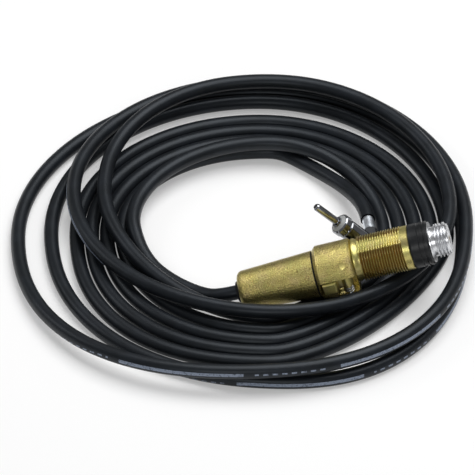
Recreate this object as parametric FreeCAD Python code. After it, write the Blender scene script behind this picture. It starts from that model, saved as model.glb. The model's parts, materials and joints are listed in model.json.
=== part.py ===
import FreeCAD, Part
import math
import os

# Vehicle antenna base with its coaxial lead, in millimetres.
# The head is built along its own X axis: rear end at x = 0, nose towards +X, claw side towards -Y.
# It is then laid down with its rear rim on the surface and its nose raised on the coiled lead.

Vector = FreeCAD.Vector
X_AXIS, Y_AXIS, Z_AXIS = Vector(1, 0, 0), Vector(0, 1, 0), Vector(0, 0, 1)

# Clearances
fit = 0.1
running = 0.3

# How the head lies
head_rear_point = Vector(0, -40.8, 7.6)
head_tilt = 14.8
head_turn = 2.85

# Rear shell
shell_length = 32.6
shell_rear_radius = 8.3
shell_front_radius = 9.95
shell_wall = 1.7
shell_rear_wall = 2.8
shell_rounding = 2.6
shell_drop = 3.0

# Gasket between shell and body
gasket_thickness = 0.8
gasket_setback = 0.5

# Clamp body with its claw pocket
body_length = 16.0
body_radius = 11.5
body_rear_chamfer = 1.3
body_front_chamfer = 0.6
body_spigot_length = 5.0
pocket_length = 8.8
pocket_far_side = 6.5
pocket_depth = 6.3
claw_slot_start = 0.9
claw_slot_depth = 7.9

# Gripping claw, its pin and spring
claw_width = 5.2
claw_proud = 0.9
claw_lug_length = 5.6
claw_end_clearance = 0.95
claw_hub_radius = 2.3
claw_arm_thickness = 2.6
pin_radius = 1.1
pin_depth = 3.2
pin_from_front = 4.0
spring_wire = 0.6
spring_turns = 2
spring_pitch = 1.15

# Earth screw in the pocket
screw_head_radius = 1.5
screw_head_height = 1.3
screw_shank_radius = 0.9
screw_shank_length = 1.2
screw_slot = 0.5
screw_from_front = 7.2
screw_offset = 4.75

# Threaded sleeve with a milled flat along it
sleeve_radius = 9.5
sleeve_collar_radius = 9.1
sleeve_collar_length = 2.2
sleeve_relief_radius = 8.6
sleeve_relief_length = 0.8
sleeve_thread_length = 18.6
sleeve_lip_radius = 9.3
sleeve_lip_length = 3.2
sleeve_lip_chamfer = 0.5
sleeve_bore_radius = 6.9
sleeve_floor = 3.0
sleeve_spigot_radius = 6.6
sleeve_spigot_length = 5.0
sleeve_flat_height = 8.85
sleeve_flat_turn = 13.0
wire_way_radius = 5.2

# Insulator, washer and nose stud
insulator_length = 8.4
insulator_radius = 9.4
insulator_groove_radius = 8.8
insulator_groove_width = 0.8
insulator_ridge_width = 0.9
insulator_end_radius = 8.7
insulator_waist = 0.3
insulator_spigot_length = 9.0
washer_thickness = 0.5
washer_radius = 8.6
stud_neck_radius = 6.3
stud_neck_length = 2.0
stud_thread_radius = 7.15
stud_thread_length = 4.3
stud_tip_radius = 6.3
stud_tip_length = 1.0
stud_chamfer = 0.3
stud_shank_radius = 3.6
stud_shank_past = 4.6
stud_bore_radius = 2.3
stud_bore_depth = 12.0

# Sprung centre contact
ring_thickness = 0.8
ring_depth = 0.4
ring_bore_radius = 1.55
plunger_flange_radius = 2.1
plunger_flange_length = 1.0
plunger_tip_radius = 1.4
plunger_tip_proud = 0.3
plunger_stem_radius = 0.8
plunger_stem_length = 3.0
contact_wire = 0.5
contact_turns = 6
contact_mean_radius = 1.7

# Nut, rod and the wire's end inside the head
lock_washer_thickness = 0.6
nut_flats = 9.0
nut_length = 3.2
rod_radius = 1.5
rod_length = 11.0
cup_radius = 2.2
cup_length = 6.0
cup_bore_radius = 0.9
cup_bore_depth = 3.5
liner_radius = 4.9
liner_length = 7.0

# Coaxial lead
cord_diameter = 6.15
dielectric_diameter = 3.7
conductor_diameter = 0.9
ferrule_wall = 0.5
ferrule_length = 9.0
dielectric_overlap = 5.0
clamp_bush_length = 6.0
clamp_bush_start = 5.0
grommet_wall = 1.5
grommet_proud = 1.2
grommet_flange = 1.0

# Aerial plug: its elbow lies behind the head, and its pin points up and to the left
plug_elbow_place = Vector(56.0, -18.9, 10.1)
plug_heading = 7.2
plug_tilt = 46.1
plug_pin_radius = 1.6
plug_pin_length = 14.4
plug_pin_root_radius = 1.3
plug_pin_flange_radius = 2.3
plug_pin_flange_length = 0.7
plug_pin_undercut = 0.4
plug_tip_length = 0.7
plug_tip_radius = 1.1
plug_split = 0.5
plug_split_length = 7.0
plug_collar_radius = 4.6
plug_collar_length = 3.0
plug_collar_lip = 0.5
plug_insulator_radius = 3.8
plug_insulator_hub_radius = 2.6
plug_insulator_proud = 0.9
plug_barrel_radius = 4.2
plug_barrel_length = 19.9
plug_neck_radius = 3.6
plug_neck_length = 0.9
plug_elbow_from_end = 2.6
plug_elbow_reach = 6.8
plug_elbow_radius = 3.0
plug_ferrule_radius = 2.45
plug_ferrule_length = 8.0
plug_exit_turn = 90.0

# The lead's route where it isn't coiled, as corner points of straight runs
lead_points_after_exit = ((-31.0, -32.8, 7.2), (-45.0, -10.0, 7.6))
tail_points = ((17.0, 52.9, 3.15), (25.5, 46.6, 3.5), (33.0, 36.4, 4.0), (42.5, 20.8, 5.9))
tail_last_run = 9.0
cord_first_run = 11.5
first_bend_share = 0.45

# Coil: for each turn the left, back, right and front stations as (x, y, level of the centre).
# The lead climbs on the pile in its first three turns, and then winds inwards on the surface.
floor_level = 3.12
second_level = 9.75
coil_turns = (
    ((-45.2, 2.0, 7.8), (12.0, 50.2, 10.6), (60.4, -2.0, floor_level), (12.5, -58.0, floor_level)),
    ((-53.8, 8.0, second_level), (12.0, 84.0, 16.6), (88.6, 4.5, 13.6), (15.0, -61.6, 10.2)),
    ((-70.5, 18.0, 10.6), (10.0, 91.2, second_level), (95.3, -2.0, second_level), (-2.0, -99.0, 10.4)),
    ((-93.7, -2.0, floor_level), (8.0, 93.5, floor_level), (94.0, -2.0, floor_level), (20.0, -97.0, floor_level)),
    ((-83.2, 0.0, floor_level), (8.0, 86.8, floor_level), (87.3, -2.0, floor_level), (12.5, -84.7, floor_level)),
    ((-76.5, 0.0, floor_level), (8.0, 80.1, floor_level), (80.6, -2.0, floor_level), (12.5, -78.0, floor_level)),
    ((-69.8, 0.0, floor_level), (8.0, 73.0, floor_level), (73.9, -2.0, floor_level), (12.5, -71.3, floor_level)),
    ((-63.1, 0.0, floor_level), (8.0, 65.9, floor_level), (67.2, -2.0, floor_level), (12.5, -64.6, floor_level)),
    ((-56.4, 0.0, floor_level), (8.0, 53.3, floor_level)),
)
coil_section_sides = 8
least_gap_allowed = 0.4

# Places along the head's axis
gasket_start = shell_length
body_start = gasket_start + gasket_thickness
body_end = body_start + body_length
sleeve_thread_start = body_end + sleeve_collar_length + sleeve_relief_length
sleeve_end = sleeve_thread_start + sleeve_thread_length + sleeve_lip_length
insulator_end = sleeve_end + insulator_length
washer_end = insulator_end + washer_thickness
stud_tip_start = washer_end + stud_neck_length + stud_thread_length
stud_end = stud_tip_start + stud_tip_length
insulator_tail = sleeve_end - insulator_spigot_length
nut_start = insulator_tail - lock_washer_thickness - nut_length
stud_tail = insulator_tail - stud_shank_past
rod_end = stud_tail
rod_start = rod_end - rod_length
cup_start = rod_start - cup_length
ring_start = stud_end - ring_depth - ring_thickness
flange_end = ring_start - fit
flange_start = flange_end - plunger_flange_length
stud_bore_floor = stud_end - stud_bore_depth
pin_x = body_end - pin_from_front
claw_side = shell_drop + body_radius
pin_height = claw_side - pin_depth
pocket_floor = claw_side - pocket_depth
claw_slot_floor = claw_side - claw_slot_depth
ferrule_start = body_start - body_spigot_length - running - ferrule_length
cord_radius = cord_diameter / 2


def tube_between(start, end, outer, inner=0.0, drop=0.0):
    """A round bar or tube along X, its axis lowered by drop towards the claw side."""
    base = Vector(start, -drop, 0)
    bar = Part.makeCylinder(outer, end - start, base, X_AXIS)
    if inner > 0:
        bar = bar.cut(Part.makeCylinder(inner, end - start + 2, base - X_AXIS, X_AXIS))
    return bar


def turned(outline, drop=0.0):
    """A turned piece: an outline of (x, radius) corners, closed and spun about the X axis."""
    corners = [Vector(x, radius, 0) for x, radius in outline]
    face = Part.Face(Part.makePolygon(corners + corners[:1]))
    piece = face.revolve(Vector(0, 0, 0), X_AXIS, 360)
    piece.translate(Vector(0, -drop, 0))
    return piece


def block(x_range, y_range, z_range):
    """A rectangular block from its three ranges."""
    size = [high - low for low, high in (x_range, y_range, z_range)]
    return Part.makeBox(*size, Vector(x_range[0], y_range[0], z_range[0]))


def rear_shell():
    """Tapered cast shell: a cup with a rounded rear rim, open towards the body."""
    inner_front = shell_front_radius - shell_wall
    inner_rear = shell_rear_radius - shell_wall
    hole = cord_radius + grommet_wall
    cup = turned([(0, hole), (0, shell_rear_radius), (shell_length, shell_front_radius),
                  (shell_length, inner_front), (shell_length - body_spigot_length, inner_front),
                  (shell_rear_wall, inner_rear), (shell_rear_wall, hole)], shell_drop)
    rim = [edge for edge in cup.Edges if edge.BoundBox.XMax < fit and edge.Length > 2 * math.pi * hole * 1.2]
    return cup.makeFillet(shell_rounding, rim)


def shell_gasket():
    """Dark ring in the joint between shell and body."""
    inner = shell_front_radius - shell_wall
    return tube_between(gasket_start, body_start, shell_front_radius - gasket_setback, inner, shell_drop)


def cable_grommet():
    """Rubber grommet in the shell's rear hole, with a flange inside."""
    outer = cord_radius + grommet_wall - fit
    flange = outer + grommet_flange
    inside = shell_rear_wall + fit
    return turned([(-grommet_proud, cord_radius + fit), (-grommet_proud, outer - 0.4),
                   (-grommet_proud + 0.4, outer), (inside, outer), (inside, flange),
                   (inside + grommet_flange, flange), (inside + grommet_flange, cord_radius + fit)], shell_drop)


def cable_clamp_bush():
    """Split bush that grips the lead inside the shell."""
    end = clamp_bush_start + clamp_bush_length
    taper = (shell_front_radius - shell_rear_radius) / (shell_length - body_spigot_length - shell_rear_wall)
    outer = shell_rear_radius - shell_wall + taper * (clamp_bush_start - shell_rear_wall) - running
    bush = tube_between(clamp_bush_start, end, outer, cord_radius + fit, shell_drop)
    split = block((clamp_bush_start - 1, end + 1), (-shell_drop, outer), (-0.4, 0.4))
    return bush.cut(split)


def cable_stub():
    """The lead's jacket inside the head."""
    return tube_between(-grommet_proud, ferrule_start + 2, cord_radius, dielectric_diameter / 2 + fit, shell_drop)


def braid_ferrule():
    """Crimped ferrule over the braid at the jacket's end."""
    outer = cord_radius + fit + ferrule_wall
    step = ferrule_start + 2 + fit
    end = ferrule_start + ferrule_length
    inner = dielectric_diameter / 2 + fit
    return turned([(ferrule_start, cord_radius + fit), (ferrule_start, outer), (end - 1.2, outer),
                   (end, outer - 1.2), (end, inner), (step, inner), (step, cord_radius + fit)], shell_drop)


def arc_between(start, corner, end, radius):
    """Tangent arc round a corner: returns its first point, middle point and last point."""
    back, ahead = (start - corner).normalize(), (end - corner).normalize()
    half = back.getAngle(ahead) / 2
    reach = radius / math.tan(half)
    centre = corner + (back + ahead).normalize() * (radius / math.sin(half))
    middle = centre + (corner - centre).normalize() * radius
    return corner + back * reach, middle, corner + ahead * reach


def route_wire(points, name=""):
    """Straight runs joined by the largest tangent arcs that the runs allow."""
    edges, here, radii = [], points[0], []
    for before, corner, after in zip(points, points[1:], points[2:]):
        run = min(before.distanceToPoint(corner), corner.distanceToPoint(after))
        half_turn = (corner - before).getAngle(after - corner) / 2
        radius = first_bend_share * run / math.tan(half_turn)
        first, middle, last = arc_between(before, corner, after, radius)
        edges.append(Part.LineSegment(here, first).toShape())
        edges.append(Part.Arc(first, middle, last).toShape())
        radii.append(radius)
        here = last
    edges.append(Part.LineSegment(here, points[-1]).toShape())
    if name:
        print(name, "bend radii", ", ".join("%.0f" % radius for radius in radii))
    return Part.Wire(edges)


def swept(wire, radius, sides=0):
    """A solid of round or many-sided section along a wire; a many-sided one has a flat underneath."""
    first = wire.OrderedEdges[0]
    start = first.valueAt(first.FirstParameter)
    ahead = first.tangentAt(first.FirstParameter)
    if sides:
        across = Z_AXIS.cross(ahead).normalize()
        up = ahead.cross(across).normalize()
        angles = [math.pi * (2 * side + 1) / sides for side in range(sides + 1)]
        corners = [start + up * (radius * math.cos(a)) + across * (radius * math.sin(a)) for a in angles]
        profile = Part.makePolygon(corners)
    else:
        profile = Part.Wire(Part.makeCircle(radius, start, ahead))
    return wire.makePipeShell([profile], True, False)


def cable_dielectric():
    """White core of the lead, from the ferrule across to the sleeve's axis."""
    start = ferrule_start + ferrule_length - dielectric_overlap
    end = cup_start - running
    bend = (start + end) / 2
    points = [Vector(start, -shell_drop, 0), Vector(bend - 1.5, -shell_drop, 0), Vector(bend + 4.5, 0, 0),
              Vector(end, 0, 0)]
    return swept(route_wire(points), dielectric_diameter / 2)


def centre_conductor():
    """Bare copper end of the lead in the solder cup."""
    return tube_between(cup_start - running + fit, cup_start + cup_bore_depth - fit, conductor_diameter / 2)


def pocket_ranges():
    """Ranges of the claw pocket, which is wider than the claw on the side of its spring and the screw."""
    outside = claw_side + 1
    return ((body_end - pocket_length, body_end + 1), (-outside, -pocket_floor),
            (-pocket_far_side, claw_width / 2 + running))


def clamp_body():
    """Cast body: an eccentric drum with the claw's pocket and slot, a spigot and a seat for the sleeve."""
    spigot = shell_front_radius - shell_wall - fit
    outline = [(body_start - body_spigot_length, 0), (body_start - body_spigot_length, spigot),
               (body_start, spigot), (body_start, body_radius - body_rear_chamfer),
               (body_start + body_rear_chamfer, body_radius), (body_end - body_front_chamfer, body_radius),
               (body_end, body_radius - body_front_chamfer), (body_end, 0)]
    drum = turned(outline, shell_drop)
    way = tube_between(body_start - body_spigot_length - 1, body_end, wire_way_radius)
    seat = tube_between(body_end - sleeve_spigot_length - fit, body_end + 1, sleeve_spigot_radius + fit)
    outside = claw_side + 1
    slot_half = claw_width / 2 + running
    slot = block((body_start + claw_slot_start, body_end - pocket_length + 1),
                 (-outside, -claw_slot_floor), (-slot_half, slot_half))
    pin_way = Part.makeCylinder(pin_radius, 4 * body_radius, Vector(pin_x, -pin_height, -2 * body_radius), Z_AXIS)
    screw_way = Part.makeCylinder(screw_shank_radius, screw_shank_length + 1,
                                  Vector(body_end - screw_from_front, -pocket_floor - 1, -screw_offset), Y_AXIS)
    for cutter in (way, seat, block(*pocket_ranges()), slot, pin_way, screw_way):
        drum = drum.cut(cutter)
    return drum


def gripping_claw():
    """Claw: a hub on its pin, an arm in the pocket and a lug that stands proud of the body."""
    outer = claw_side + claw_proud
    lug_start = body_start + claw_slot_start + claw_end_clearance
    lug_end = lug_start + claw_lug_length
    arm_top = pin_height + claw_arm_thickness / 2
    arm_floor = pin_height - claw_arm_thickness / 2
    corners = [(lug_start, -arm_floor), (lug_start, -outer), (lug_end, -outer), (lug_end + 0.9, -arm_top),
               (pin_x, -arm_top), (pin_x, -arm_floor)]
    outline = Part.makePolygon([Vector(x, y, -claw_width / 2) for x, y in corners + corners[:1]])
    arm = Part.Face(outline).extrude(Vector(0, 0, claw_width))
    hub_base = Vector(pin_x, -pin_height, -claw_width / 2)
    hub = Part.makeCylinder(claw_hub_radius, claw_width, hub_base, Z_AXIS)
    bore = Part.makeCylinder(pin_radius + fit, claw_width + 2, hub_base - Z_AXIS, Z_AXIS)
    claw = arm.fuse(hub).cut(bore).removeSplitter()
    rim = [edge for edge in claw.Edges if edge.BoundBox.YMax < -outer + fit and edge.Length > claw_width * 0.9]
    return claw.makeChamfer(0.4, rim)


def claw_pin():
    """Pin through the pocket's two cheeks, its ends dressed flush with the body's surface."""
    pin = Part.makeCylinder(pin_radius, 2 * body_radius, Vector(pin_x, -pin_height, -body_radius), Z_AXIS)
    return pin.common(tube_between(body_start, body_end, body_radius - fit / 2, drop=shell_drop))


def helix_wire(start, step, mean_radius, turns, across, up):
    """Quarter turns of a helix as pairs of tangent arcs; step is the advance in one turn."""
    direction = across.cross(up)
    edges = []
    slope = step / (2 * math.pi)

    def place(angle):
        spoke = across * math.cos(angle) + up * math.sin(angle)
        return start + spoke * mean_radius + direction * (slope * angle)

    def heading(angle):
        spoke = up * math.cos(angle) - across * math.sin(angle)
        return (spoke * mean_radius + direction * slope).normalize()

    for quarter in range(int(round(turns * 4))):
        low, high = quarter * math.pi / 2, (quarter + 1) * math.pi / 2
        edges += biarc(place(low), heading(low), place(high), heading(high))
    return edges


def claw_spring():
    """Torsion spring on the pin beside the claw, and its leg to the pocket's floor."""
    mean = pin_radius + 0.45 + spring_wire / 2
    turns = spring_turns + 0.25
    far_end = claw_width / 2 + running + spring_wire / 2 + spring_pitch * turns
    edges = helix_wire(Vector(pin_x, -pin_height, -far_end), spring_pitch, mean, turns, Y_AXIS * -1, X_AXIS)
    last = edges[-1]
    end, ahead = last.valueAt(last.LastParameter), last.tangentAt(last.LastParameter)
    leg = pin_height - pocket_floor - fit
    edges.append(Part.LineSegment(end, end + ahead * leg).toShape())
    return swept(Part.Wire(edges), spring_wire / 2)


def earth_screw():
    """Slotted cheese-head screw that holds the braid's earth tag on the pocket's floor."""
    base = Vector(body_end - screw_from_front, -pocket_floor, -screw_offset)
    head = Part.makeCylinder(screw_head_radius, screw_head_height, base, Y_AXIS * -1)
    shank = Part.makeCylinder(screw_shank_radius - fit / 2, screw_shank_length, base, Y_AXIS)
    slot = block((base.x - 2 * screw_head_radius, base.x + 2 * screw_head_radius),
                 (base.y - screw_head_height - 1, base.y - screw_head_height + 0.7),
                 (base.z - screw_slot / 2, base.z + screw_slot / 2))
    return head.fuse(shank).cut(slot).removeSplitter()


def threaded_sleeve():
    """Sleeve for the panel hole: collar, relief, threaded length with a flat along it, and a plain lip."""
    outline = [(body_end - sleeve_spigot_length, wire_way_radius),
               (body_end - sleeve_spigot_length, sleeve_spigot_radius),
               (body_end, sleeve_spigot_radius), (body_end, sleeve_collar_radius),
               (body_end + sleeve_collar_length, sleeve_collar_radius),
               (body_end + sleeve_collar_length, sleeve_relief_radius),
               (sleeve_thread_start, sleeve_relief_radius), (sleeve_thread_start, sleeve_radius),
               (sleeve_end - sleeve_lip_length, sleeve_radius),
               (sleeve_end - sleeve_lip_length, sleeve_lip_radius),
               (sleeve_end - sleeve_lip_chamfer, sleeve_lip_radius),
               (sleeve_end, sleeve_lip_radius - sleeve_lip_chamfer), (sleeve_end, sleeve_bore_radius),
               (body_end + sleeve_floor, sleeve_bore_radius), (body_end + sleeve_floor, wire_way_radius)]
    sleeve = turned(outline)
    flat = block((sleeve_thread_start - fit, sleeve_end - sleeve_lip_length),
                 (-sleeve_radius, sleeve_radius), (sleeve_flat_height, sleeve_radius + 1))
    flat.rotate(Vector(0, 0, 0), X_AXIS, sleeve_flat_turn)
    return sleeve.cut(flat)


def insulator():
    """Black insulator: a stepped collar with two ridges, and a spigot inside the sleeve."""
    spigot = sleeve_bore_radius - fit
    bore = stud_shank_radius + fit
    ridge_end = insulator_end - insulator_groove_width
    groove_end = ridge_end - insulator_ridge_width
    groove_start = groove_end - insulator_groove_width
    ridge_start = groove_start - insulator_ridge_width
    waist_start = ridge_start - 1.2
    return turned([(insulator_tail, bore), (insulator_tail, spigot), (sleeve_end, spigot),
                   (sleeve_end, insulator_radius - 0.2), (sleeve_end + 0.6, insulator_radius),
                   (waist_start, insulator_radius), (waist_start + 0.3, insulator_radius - insulator_waist),
                   (ridge_start, insulator_radius - insulator_waist), (ridge_start, insulator_radius),
                   (groove_start, insulator_radius), (groove_start, insulator_groove_radius),
                   (groove_end, insulator_groove_radius), (groove_end, insulator_radius - 0.1),
                   (ridge_end, insulator_radius - 0.1), (insulator_end, insulator_end_radius),
                   (insulator_end, bore)])


def contact_washer():
    """Bright washer under the nose stud."""
    return tube_between(insulator_end, washer_end, washer_radius, stud_shank_radius + fit)


def nose_stud():
    """Nose stud: a plain neck, a thread, a plain tip and a shank through the insulator."""
    return turned([(stud_tail, rod_radius), (stud_tail, stud_shank_radius), (washer_end, stud_shank_radius),
                   (washer_end, stud_neck_radius), (washer_end + stud_neck_length, stud_neck_radius),
                   (washer_end + stud_neck_length, stud_thread_radius),
                   (stud_tip_start, stud_thread_radius), (stud_tip_start, stud_tip_radius),
                   (stud_end - stud_chamfer, stud_tip_radius), (stud_end, stud_tip_radius - stud_chamfer),
                   (stud_end, stud_bore_radius), (stud_bore_floor, stud_bore_radius),
                   (stud_bore_floor, 0), (stud_tail + 2, 0), (stud_tail + 2, rod_radius)])


def lock_washer():
    """Spring washer between the nut and the insulator's spigot."""
    return tube_between(nut_start + nut_length, insulator_tail, nut_flats / 2 + 0.6, stud_shank_radius + fit)


def stud_nut():
    """Hexagon nut that pulls the stud tight, inside the sleeve."""
    corner = nut_flats / math.sqrt(3)
    points = [Vector(nut_start, corner * math.cos(math.pi * k / 3), corner * math.sin(math.pi * k / 3))
              for k in range(7)]
    prism = Part.Face(Part.makePolygon(points)).extrude(Vector(nut_length, 0, 0))
    return prism.cut(tube_between(nut_start - 1, nut_start + nut_length + 1, stud_shank_radius + fit))


def dielectric_liner():
    """White liner that keeps the centre rod clear of the sleeve's floor."""
    start = rod_start + running
    return tube_between(start, start + liner_length, liner_radius, rod_radius + fit)


def centre_rod():
    """Brass rod from the solder cup to the stud."""
    return tube_between(rod_start, rod_end + 2 - fit, rod_radius)


def solder_cup():
    """Cup that takes the lead's centre conductor."""
    return turned([(cup_start, cup_bore_radius), (cup_start, cup_radius), (rod_start, cup_radius),
                   (rod_start, 0), (cup_start + cup_bore_depth, 0), (cup_start + cup_bore_depth, cup_bore_radius)])


def retaining_ring():
    """Ring in the nose's bore that keeps the sprung contact in."""
    return tube_between(ring_start, ring_start + ring_thickness, stud_bore_radius, ring_bore_radius)


def contact_plunger():
    """Sprung centre contact: a round tip through the ring, a flange and a stem in the spring."""
    tip = flange_end + plunger_tip_proud + ring_thickness
    return turned([(flange_start - plunger_stem_length, 0), (flange_start - plunger_stem_length, plunger_stem_radius),
                   (flange_start, plunger_stem_radius), (flange_start, plunger_flange_radius),
                   (flange_end, plunger_flange_radius), (flange_end, plunger_tip_radius),
                   (tip - 0.6, plunger_tip_radius), (tip, plunger_tip_radius - 0.6), (tip, 0)])


def contact_spring():
    """Compression spring behind the sprung contact."""
    wire = contact_wire / 2
    length = flange_start - stud_bore_floor - 2 * (wire + fit)
    mean = contact_mean_radius
    start = Vector(stud_bore_floor + wire + fit, 0, 0)
    edges = helix_wire(start, length / contact_turns, mean, contact_turns, Y_AXIS, Z_AXIS)
    return swept(Part.Wire(edges), wire)


def plug_pin():
    """Centre pin of the plug: split lengthwise so that it springs, with a flange against the insulator."""
    root = plug_collar_length
    flange_end = -plug_insulator_proud
    flange = flange_end - plug_pin_flange_length
    undercut = flange - plug_pin_undercut
    pin = turned([(-plug_pin_length, 0), (-plug_pin_length, plug_tip_radius),
                  (-plug_pin_length + plug_tip_length, plug_pin_radius), (undercut, plug_pin_radius),
                  (undercut, plug_pin_root_radius), (flange, plug_pin_root_radius),
                  (flange, plug_pin_flange_radius), (flange_end, plug_pin_flange_radius),
                  (flange_end, plug_pin_root_radius), (root, plug_pin_root_radius), (root, 0)])
    split = block((-plug_pin_length - 1, -plug_pin_length + plug_split_length),
                  (-plug_split / 2, plug_split / 2), (-2 * plug_pin_radius, 2 * plug_pin_radius))
    return pin.cut(split)


def plug_insulator():
    """Insulator that centres the pin in the collar: its coned face stands a little proud."""
    return turned([(-plug_insulator_proud, plug_pin_root_radius), (-plug_insulator_proud, plug_insulator_hub_radius),
                   (0, plug_insulator_radius), (plug_collar_length, plug_insulator_radius),
                   (plug_collar_length, plug_pin_root_radius)])


def plug_collar():
    """Front collar with a rolled lip."""
    lip = plug_collar_radius - plug_collar_lip
    return turned([(0, plug_insulator_radius), (0, lip), (plug_collar_lip, plug_collar_radius),
                   (plug_collar_length, plug_collar_radius), (plug_collar_length, plug_insulator_radius)])


def plug_barrel():
    """Barrel behind the collar, with a short neck in between."""
    neck_end = plug_collar_length + plug_neck_length
    end = neck_end + plug_barrel_length
    return turned([(plug_collar_length, 0), (plug_collar_length, plug_neck_radius), (neck_end, plug_neck_radius),
                   (neck_end, plug_barrel_radius - 0.3), (neck_end + 0.3, plug_barrel_radius),
                   (end - 1.0, plug_barrel_radius), (end, plug_barrel_radius - 1.0), (end, 0)])


def plug_exit_direction():
    """Direction in which the lead leaves the plug, in the plug's own frame."""
    turn = math.radians(plug_exit_turn)
    return Vector(math.cos(turn), math.sin(turn), 0)


def plug_elbow_point():
    """Where the lead's axis meets the barrel's axis."""
    return Vector(plug_collar_length + plug_neck_length + plug_barrel_length - plug_elbow_from_end, 0, 0)


def plug_housing():
    """Elbow boss that turns the lead back out of the barrel."""
    start, way = plug_elbow_point(), plug_exit_direction()
    reach = plug_barrel_radius + plug_elbow_reach
    boss = Part.makeCylinder(plug_elbow_radius, reach, start, way)
    barrel = tube_between(plug_collar_length, plug_elbow_point().x + plug_barrel_length, plug_barrel_radius + fit / 2)
    return max(boss.cut(barrel).Solids, key=lambda solid: solid.CenterOfMass.dot(way))


def plug_ferrule():
    """Satin ferrule at the plug, against the end of the lead's jacket."""
    start, way = plug_elbow_point(), plug_exit_direction()
    base = start + way * (plug_barrel_radius + plug_elbow_reach)
    tube = Part.makeCylinder(plug_ferrule_radius, plug_ferrule_length, base, way)
    return tube.cut(Part.makeCylinder(dielectric_diameter / 2, plug_ferrule_length, base + way, way))


def head_placement():
    """Where the head lies: nose raised, and turned on the surface."""
    tilt = FreeCAD.Rotation(Y_AXIS, -head_tilt)
    turn = FreeCAD.Rotation(Z_AXIS, head_turn)
    return FreeCAD.Placement(head_rear_point, turn.multiply(tilt))


def plug_placement():
    """Where the plug lies behind the head: its pin raised, its elbow at its place."""
    tilt = FreeCAD.Rotation(Y_AXIS, plug_tilt)
    rotation = FreeCAD.Rotation(Z_AXIS, plug_heading).multiply(tilt)
    return FreeCAD.Placement(plug_elbow_place - rotation.multVec(plug_elbow_point()), rotation)


def biarc(start, start_way, end, end_way):
    """Two tangent arcs from one point and direction to another."""
    span = end - start
    total = start_way + end_way
    square = 2 * (1 - start_way.dot(end_way))
    linear = 2 * span.dot(total)
    size = span.dot(span)
    reach = (math.sqrt(linear ** 2 + 4 * square * size) - linear) / (2 * square)
    meet = (start + end + (start_way - end_way) * reach) * 0.5
    first = Part.Arc(start, arc_middle(start, start_way, meet), meet)
    second = Part.Arc(meet, arc_middle(end, end_way * -1, meet), end)
    return [first.toShape(), second.toShape()]


def arc_middle(start, way, end):
    """Middle point of the arc that leaves start along way and ends at end."""
    chord = end - start
    half = way.getAngle(chord)
    across = (way - chord * (way.dot(chord) / chord.dot(chord))).normalize()
    return start + chord * 0.5 + across * (chord.Length / 2 * math.tan(half / 2))


def coil_stations():
    """All stations of the coil in order, each with the direction of travel there."""
    ways = (Y_AXIS, X_AXIS, Y_AXIS * -1, X_AXIS * -1)
    return [(Vector(*point), way) for turn in coil_turns for point, way in zip(turn, ways)]


def coil_wire():
    """The coil's centre line: each quarter turn between two stations is a pair of arcs."""
    stations = coil_stations()
    edges = []
    for (here, way), (there, next_way) in zip(stations, stations[1:]):
        edges += biarc(here, way, there, next_way)
    return Part.Wire(edges)


def lead_route():
    """Corner points of the lead from the head's grommet to the first turn of the coil."""
    place = head_placement()
    start = place.multVec(Vector(-grommet_proud, -shell_drop, 0))
    back = place.Rotation.multVec(X_AXIS * -1)
    end = coil_stations()[0][0]
    return [start, start + back * cord_first_run] + [Vector(*point) for point in lead_points_after_exit] + [end]


def tail_route():
    """Corner points of the lead from the coil's last turn to the plug's ferrule."""
    place = plug_placement()
    way = place.Rotation.multVec(plug_exit_direction())
    base = place.multVec(plug_elbow_point()) + way * (plug_barrel_radius + plug_elbow_reach + plug_ferrule_length)
    points = [coil_stations()[-1][0]] + [Vector(*point) for point in tail_points]
    return points + [base + way * tail_last_run, base]


def sampled(wire, step):
    """Points on a wire about step apart, with their distance along it."""
    points = wire.discretize(Number=int(wire.Length / step))
    return [(index * wire.Length / (len(points) - 1), point) for index, point in enumerate(points)]


def report_gap(wires):
    """Print the least gap of the whole cord to itself, measured on points of its centre line."""
    samples, start = [], 0.0
    for wire in wires:
        samples += [(start + along, point) for along, point in sampled(wire, 2.0)]
        start += wire.Length
    least = min((a.distanceToPoint(b) - cord_diameter, p, q) for i, (p, a) in enumerate(samples)
                for q, b in samples[i + 1:] if q - p > 8 * cord_diameter and abs(a.x - b.x) < 2 * cord_diameter
                and abs(a.y - b.y) < 2 * cord_diameter)
    print("cord length %.0f, least gap to itself %.2f (over %.1f is right)" % (start, least[0], least_gap_allowed))


def cord_pieces():
    """The free stretches and the coil of the lead, with their measures printed."""
    lead = route_wire(lead_route(), "lead")
    coil = coil_wire()
    tail = route_wire(tail_route(), "tail")
    report_gap([lead, coil, tail])
    radii = [edge.Curve.Radius for edge in coil.Edges]
    print("coil bend radii from %.0f to %.0f" % (min(radii), max(radii)))
    pieces = {"lead": swept(lead, cord_radius), "coil": swept(coil, cord_radius, coil_section_sides),
              "tail": swept(tail, cord_radius)}
    for name, wire in (("lead", lead), ("tail", tail)):
        ratio = pieces[name].Volume / (math.pi * cord_radius ** 2 * wire.Length)
        print(name, "length %.0f, volume over section times length %.3f" % (wire.Length, ratio))
    return pieces


HEAD_PIECES = (rear_shell, shell_gasket, cable_grommet, cable_clamp_bush, cable_stub, braid_ferrule,
               cable_dielectric, centre_conductor, clamp_body, gripping_claw, claw_pin, claw_spring,
               earth_screw, threaded_sleeve, insulator, contact_washer, nose_stud, lock_washer, stud_nut,
               dielectric_liner, centre_rod, solder_cup, retaining_ring, contact_plunger, contact_spring)
PLUG_PIECES = (plug_pin, plug_insulator, plug_collar, plug_barrel, plug_housing, plug_ferrule)


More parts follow.
